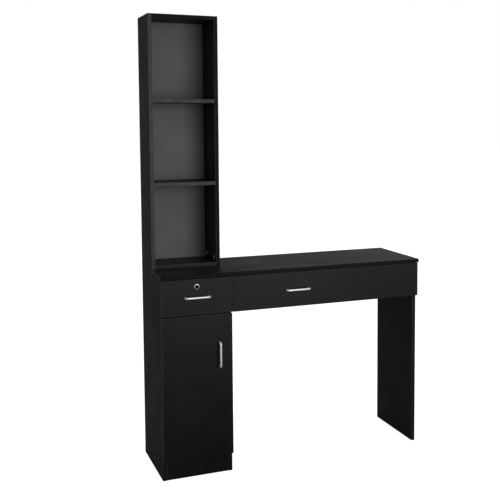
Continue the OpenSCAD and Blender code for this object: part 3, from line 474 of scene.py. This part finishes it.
bpy.ops.object.select_all(action="DESELECT")
bar_size = (2 * half_length, BAR, BAR_WIDTH)
bpy.ops.mesh.primitive_cube_add(size=1, location=(0, BAR / 2 - RISE, 0), scale=bar_size)
bridge = settle(bpy.context.active_object)
bridge.name = "bridge_handle"
bpy.ops.object.mode_set(mode="EDIT")
for side in (-1, 1):
    bpy.ops.mesh.select_all(action="SELECT")
    bpy.ops.mesh.bisect(plane_co=(side * (half_length - LEG), 0, 0), plane_no=(1, 0, 0))
choose("FACE", is_back_of_leg)
bpy.ops.mesh.extrude_faces_indiv()
bpy.ops.transform.translate(value=(0, RISE - BAR, 0))
bpy.ops.mesh.select_all(action="SELECT")
bpy.ops.mesh.dissolve_limited(angle_limit=ONE_PLANE)
choose("EDGE", is_outer_corner)
bpy.ops.mesh.bevel(offset=BEND, segments=BEND_STEPS, affect="EDGES")
bpy.ops.object.mode_set(mode="OBJECT")
bpy.ops.object.modifier_add(type="BEVEL")
ease = bridge.modifiers[-1]
ease.width, ease.segments, ease.angle_limit = EASE, EASE_STEPS, EASE_ANGLE
bpy.ops.object.modifier_apply(modifier=ease.name)
bpy.ops.object.shade_smooth_by_angle(angle=EASE_ANGLE)
print(count(bridge), "length", round(2 * half_length * 1000, 1), "mm")

# %% [markdown]
# The three handles are the same casting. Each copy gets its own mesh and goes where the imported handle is: the
# middle of that box gives its place, the back of the box is the face of the board, and a tall box means an
# upright handle.


# %% Three handles in their places
def place_handle(node):
    low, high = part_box(node)
    piece = copy_of(bridge, "cast_" + node)
    piece.location = ((low[0] + high[0]) / 2, high[1], (low[2] + high[2]) / 2)
    if high[2] - low[2] > high[0] - low[0]:
        piece.rotation_euler = (0, math.pi / 2, 0)
    settle(piece)
    stands_for(piece, node)
    return piece


for node in ("left_drawer_handle", "centre_drawer_handle", "door_handle"):
    print(count(place_handle(node)))
bpy.data.objects.remove(bridge)

# %% [markdown]
# The lock is a turned barrel with a raised, rounded rim around a plug with a key slot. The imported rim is
# flat, which would mirror one even patch of light, so both of its edges are rounded on a merged copy: the
# upper half then mirrors the bright room and the lower half the dark front, as a polished ring does. The
# plug's rim is rounded too, but not its key slot, which lies nearer to the axis.
# %% Lock rim and plug
RIM_ROUND = 0.0012
RIM_STEPS = 4
PLUG_ROUND = 0.0004
PLUG_STEPS = 3
SLOT_REACH = 0.0068
TURNED_ANGLE = math.radians(25)

low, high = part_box("lock_plug")
lock_x, lock_z = (low[0] + high[0]) / 2, (low[2] + high[2]) / 2
plug_front = low[1]
rim_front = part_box("lock_housing")[0][1]
lock_finish = plated("polished_nickel", (0.40, 0.40, 0.40), (0.50, 0.50, 0.50), 0.26, 900.0)


def on_rim_face(edge):
    return all(v.co.y < rim_front + TOUCH for v in edge.verts)


def on_plug_rim(edge):
    return all(
        v.co.y < plug_front + TOUCH and math.hypot(v.co.x - lock_x, v.co.z - lock_z) > SLOT_REACH
        for v in edge.verts
    )


def rounded_turning(node, name, wanted, width, steps):
    piece = merged_copy(node, name)
    bpy.ops.mesh.dissolve_limited(angle_limit=ONE_PLANE)
    choose("EDGE", wanted)
    bpy.ops.mesh.bevel(offset=width, segments=steps, affect="EDGES")
    bpy.ops.object.mode_set(mode="OBJECT")
    pick(piece)
    bpy.ops.object.shade_smooth_by_angle(angle=TURNED_ANGLE)
    stands_for(piece, node)
    piece.data.materials[0] = lock_finish
    return piece


print(count(rounded_turning("lock_housing", "dished_lock_rim", on_rim_face, RIM_ROUND, RIM_STEPS)))
print(count(rounded_turning("lock_plug", "lock_plug_face", on_plug_rim, PLUG_ROUND, PLUG_STEPS)))

# %% [markdown]
# The room is plain and white, as in a small product studio. White boards around the object would do it too,
# but a world has no edges that a board could mirror. It is white for the camera, for mirrors and for glass,
# and only a mild fill for the rest, so that the white background never comes from more light on the object.
# %% White surround
FILL = 0.5
WHITE = (1, 1, 1, 1)
world = bpy.data.worlds.new("white_surround")
world.use_nodes = True
world.node_tree.nodes.clear()
bpy.context.scene.world = world


def either(tree, first, second):
    node = tree.nodes.new("ShaderNodeMath")
    node.operation = "MAXIMUM"
    tree.links.new(first, node.inputs[0])
    tree.links.new(second, node.inputs[1])
    return node.outputs[0]


def background(strength):
    node = world.node_tree.nodes.new("ShaderNodeBackground")
    node.inputs["Color"].default_value = WHITE
    node.inputs["Strength"].default_value = strength
    return node.outputs[0]


rays = world.node_tree.nodes.new("ShaderNodeLightPath").outputs
fill_or_white = world.node_tree.nodes.new("ShaderNodeMixShader")
surround = world.node_tree.nodes.new("ShaderNodeOutputWorld")
camera_or_mirror = either(world.node_tree, rays["Is Camera Ray"], rays["Is Glossy Ray"])
clear_ray = either(world.node_tree, camera_or_mirror, rays["Is Transmission Ray"])
world.node_tree.links.new(clear_ray, fill_or_white.inputs["Fac"])
world.node_tree.links.new(background(FILL), fill_or_white.inputs[1])
world.node_tree.links.new(background(1.0), fill_or_white.inputs[2])
world.node_tree.links.new(fill_or_white.outputs[0], surround.inputs["Surface"])
print("surround: white to the eye,", FILL, "as light")

# %% [markdown]
# The floor is one wide pale sheet that keeps the object's shadow. At this light level a pale sheet would
# render grey. More light would lift it, but would lift the object too, so the sheet shines a little by
# itself, for the camera and for mirrors only.
# %% Pale floor
FLOOR_SIZE = 60.0
FLOOR_LIFT = 0.82
bpy.ops.object.select_all(action="DESELECT")
bpy.ops.mesh.primitive_plane_add(size=FLOOR_SIZE, location=(0, 0, 0))
floor = settle(bpy.context.active_object)
floor.name = "studio_floor"
sheet = Finish("studio_floor", Roughness=0.9, Specular_IOR_Level=0.0, Emission_Color=WHITE)
sheet.feed(sheet.ramp(sheet.noise(2.0, 2.0), (0.78, 0.78, 0.78), (0.80, 0.80, 0.80)), "Base Color")
rays = sheet.tree.nodes.new("ShaderNodeLightPath").outputs
lift = sheet.tree.nodes.new("ShaderNodeMath")
lift.operation = "MULTIPLY"
lift.inputs[1].default_value = FLOOR_LIFT
sheet.tree.links.new(either(sheet.tree, rays["Is Camera Ray"], rays["Is Glossy Ray"]), lift.inputs[0])
sheet.feed(lift.outputs[0], "Emission Strength")
floor.data.materials.append(sheet.material)
print("floor:", FLOOR_SIZE, "m square")

# %% [markdown]
# A near-black board seen at a grazing angle mirrors what is behind it, and a white room would turn it pale.
# So a dark cloth hangs behind the object and lies on the floor under it, and only mirrored rays see it. It
# starts as a plane, and its lower edge is pulled forward. It fades from dark on the left to half as dark on
# the right, because the boards on that side mirror a brighter part of the room.
# %% Dark cloth for the mirrored rays
CLOTH_MIDDLE = (0.4, 1.1, 1.4)
CLOTH_WIDTH = 8
CLOTH_HEIGHT = 2.798
CLOTH_ON_FLOOR = 3.3
DARK_LEFT, DARK_RIGHT = 0.25, 0.5
FADE_FROM, FADE_TO = -0.1, 1.0
cloth_foot = CLOTH_MIDDLE[2] - CLOTH_HEIGHT / 2
bpy.ops.object.select_all(action="DESELECT")
bpy.ops.mesh.primitive_plane_add(size=1, location=CLOTH_MIDDLE, rotation=(math.pi / 2, 0, 0))
cloth = bpy.context.active_object
cloth.scale = (CLOTH_WIDTH, CLOTH_HEIGHT, 1)
settle(cloth)
cloth.name = "dark_cloth"
bpy.ops.object.mode_set(mode="EDIT")
choose("EDGE", lambda e: middle(e).z < cloth_foot + TOUCH)
bpy.ops.mesh.extrude_region_move(TRANSFORM_OT_translate={"value": (0, -CLOTH_ON_FLOOR, 0)})
bpy.ops.object.mode_set(mode="OBJECT")
weave = Finish("dark_cloth", Roughness=1.0, Specular_IOR_Level=0.0)
across = weave.tree.nodes.new("ShaderNodeSeparateXYZ")
weave.tree.links.new(weave.place, across.inputs["Vector"])
fade = weave.span(across.outputs["X"], DARK_LEFT, DARK_RIGHT, FADE_FROM, FADE_TO)
weave.feed(fade, "Base Color")
cloth.data.materials.append(weave.material)
for kind in ("camera", "diffuse", "transmission", "volume_scatter", "shadow"):
    setattr(cloth, "visible_" + kind, False)
print(count(cloth))

# %% [markdown]
# One large soft lamp stands in front, a little to the right. Its beam is narrowed, so that the light falls
# off towards the top of the bookcase and towards the floor. It is the only lamp: a second one from the left
# would light the bookcase's outer side, which is dark on the real object.
# %% Front lamp
LAMP_PLACE = Vector((0.6, -3.2, 1.4))
LAMP_AIM = Vector((-0.15, 0.0, 1.08))
LAMP_WATTS = 13.0
LAMP_SIZE = 1.6
LAMP_BEAM = 75
light = bpy.data.lights.new("front_softbox", "AREA")
light.shape = "SQUARE"
light.size = LAMP_SIZE
light.spread = math.radians(LAMP_BEAM)
light.energy = LAMP_WATTS
lamp = bpy.data.objects.new("front_softbox", light)
lamp.location = LAMP_PLACE
lamp.rotation_euler = (LAMP_AIM - LAMP_PLACE).to_track_quat("-Z", "Y").to_euler()
bpy.context.scene.collection.objects.link(lamp)
bpy.context.scene.view_settings.view_transform = "Standard"
print("lamp:", LAMP_WATTS, "W, beam", LAMP_BEAM, "degrees")
